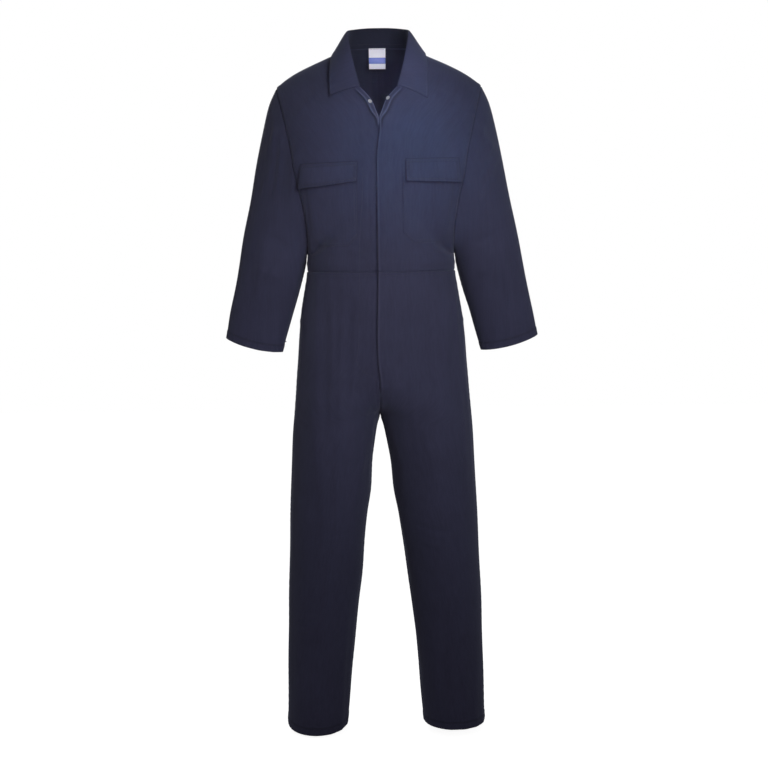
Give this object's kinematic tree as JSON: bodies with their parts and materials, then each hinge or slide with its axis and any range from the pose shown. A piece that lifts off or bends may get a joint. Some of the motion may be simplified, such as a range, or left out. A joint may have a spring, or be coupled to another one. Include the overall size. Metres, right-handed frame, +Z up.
{
  "type": "boiler suit",
  "caption": "Long-sleeved one-piece work overall with a fold-over collar, an open neck, a concealed front fastening and flapped chest pockets, filled out with no wearer.",
  "frame": {"origin": "at the base of the neck, between the shoulders, where a wearer holds the garment up", "axes": "+Z up, -Y is the front, +X is the wearer's left"},
  "size_m": [0.714, 0.2707, 1.6077],
  "materials": {
    "navy_twill": "matt dark navy polyester-cotton twill",
    "navy_twill_collar": "matt dark navy polyester-cotton twill, double layer",
    "navy_twill_pocket": "matt dark navy polyester-cotton twill, pocket bags",
    "navy_twill_flap": "matt dark navy polyester-cotton twill, pocket flaps",
    "white_label_satin": "white satin with a plain blue band",
    "nickel_plated_brass": "bright nickel plate"
  },
  "bodies": {
    "root": {"front_bodice_right": "navy_twill", "front_bodice_left": "navy_twill", "back_bodice": "navy_twill", "front_leg_right": "navy_twill", "front_leg_left": "navy_twill", "back_leg_right": "navy_twill", "back_leg_left": "navy_twill", "sleeve_right": "navy_twill", "sleeve_left": "navy_twill", "collar": "navy_twill_collar", "pocket_bag_right": "navy_twill_pocket", "pocket_bag_left": "navy_twill_pocket", "pocket_flap_right": "navy_twill_flap", "pocket_flap_left": "navy_twill_flap", "neck_label": "white_label_satin", "press_stud_right": "nickel_plated_brass", "press_stud_left": "nickel_plated_brass"}
  },
  "joints": []
}
